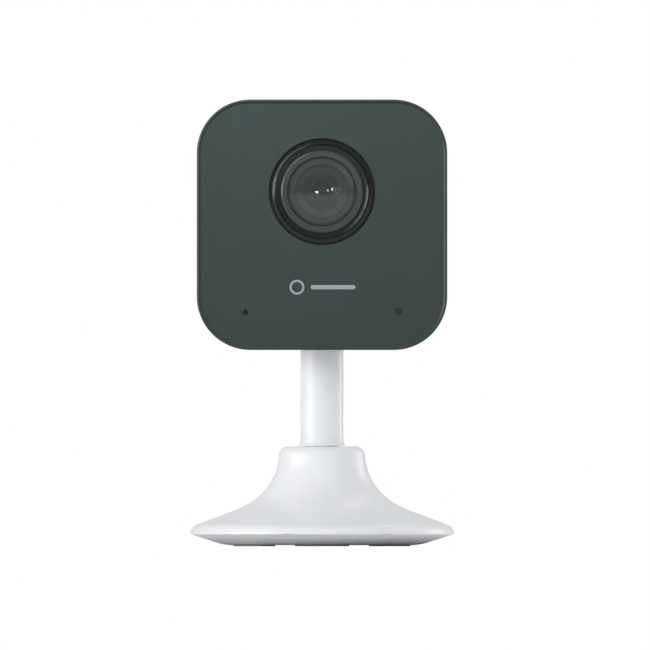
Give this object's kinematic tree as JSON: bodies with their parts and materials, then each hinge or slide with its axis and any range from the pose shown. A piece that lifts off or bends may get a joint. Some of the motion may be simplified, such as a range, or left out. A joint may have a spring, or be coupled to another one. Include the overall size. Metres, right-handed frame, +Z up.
{
  "type": "security camera",
  "caption": "Compact indoor security camera: rounded-square head with a round lens, tilting on a short round stem that swivels in a flared, weighted base.",
  "frame": {"origin": "on the floor under the stem's axis, the centre of the round base", "axes": "+Z up along the stem, -Y the way the lens looks, +X to the right seen from the front"},
  "size_m": [0.0622, 0.0622, 0.1052],
  "materials": {
    "white_shell": "moulded, fine matte texture with a soft sheen",
    "white_plate": "moulded matte white",
    "white_button": "moulded matte white",
    "dark_face": "satin dark grey-green",
    "gloss_black": "polished, passes infrared",
    "grey_trim": "satin mid-grey ring",
    "optical_glass": "coated optical glass",
    "black_plastic": "matt black moulding",
    "steel": "plated steel",
    "nylon": "natural acetal friction washer",
    "circuit_board": "green solder mask",
    "lamp_resin": "dark infrared lamp resin",
    "chip_ceramic": "sensor package",
    "chip_black": "chip moulding compound",
    "rubber_black": "soft black rubber",
    "rubber_grey": "heat-conducting pad",
    "rubber_grey_feet": "soft grey foot rubber",
    "clear_plastic": "clear acrylic light pipe",
    "speaker_film": "speaker diaphragm"
  },
  "bodies": {
    "base": {"base_cover": "white_shell", "base_plate": "white_plate", "base_weight": "steel", "base_screws": "steel", "foot_pad_1": "rubber_grey_feet", "foot_pad_2": "rubber_grey_feet", "foot_pad_3": "rubber_grey_feet", "foot_pad_4": "rubber_grey_feet", "foot_pad_5": "rubber_grey_feet", "foot_pad_6": "rubber_grey_feet"},
    "stem": {"stem": "white_shell", "pan_friction_washer": "nylon", "pan_spring_washer": "steel", "pan_screw": "steel"},
    "head": {"front_cover": "dark_face", "rear_shell": "white_shell", "head_screws": "steel", "tilt_bracket": "steel", "bracket_screws": "steel", "tilt_pin": "steel", "tilt_nut": "steel", "tilt_washer_left": "nylon", "tilt_washer_right": "nylon", "lens_bezel_ring": "gloss_black", "lens_trim_ring": "grey_trim", "front_lens": "optical_glass", "lens_barrel": "black_plastic", "lens_retainer": "black_plastic", "lens_element_middle": "optical_glass", "iris_ring": "black_plastic", "lens_element_rear": "optical_glass", "lens_holder": "black_plastic", "lamp_board": "circuit_board", "infrared_lamps": "lamp_resin", "filter_housing": "black_plastic", "main_board": "circuit_board", "image_sensor": "chip_ceramic", "shield_can": "steel", "thermal_pad": "rubber_grey", "radio_module": "steel", "memory_chip": "chip_black", "light_sensor_chip": "chip_black", "microphone": "steel", "microphone_boot": "rubber_black", "light_pipe": "clear_plastic", "speaker_basket": "black_plastic", "speaker_cone": "speaker_film", "speaker_gasket": "rubber_black", "power_inlet": "steel", "card_cage": "steel", "antenna": "circuit_board", "tact_switch": "black_plastic"},
    "filter": {"filter_slider": "black_plastic", "filter_glass": "optical_glass"},
    "button": {"reset_button": "white_button", "switch_plunger": "white_button"}
  },
  "joints": [
    {"name": "pan_swivel", "type": "hinge", "parent": "base", "child": "stem", "pos_m": [0, 0, 0.0185], "axis": [0, 0, 1], "continuous": true},
    {"name": "head_tilt", "type": "hinge", "parent": "stem", "child": "head", "pos_m": [0, 0, 0.057], "axis": [-1, 0, 0], "range_deg": [-15, 60]},
    {"name": "reset_press", "type": "slide", "parent": "head", "child": "button", "axis": [0, -1, 0], "range_m": [0, 0.0005], "stiffness_N_per_m": 1500, "springref_m": -0.0004},
    {"name": "filter_shift", "type": "slide", "parent": "head", "child": "filter", "axis": [-1, 0, 0], "range_m": [0, 0.0055]}
  ]
}
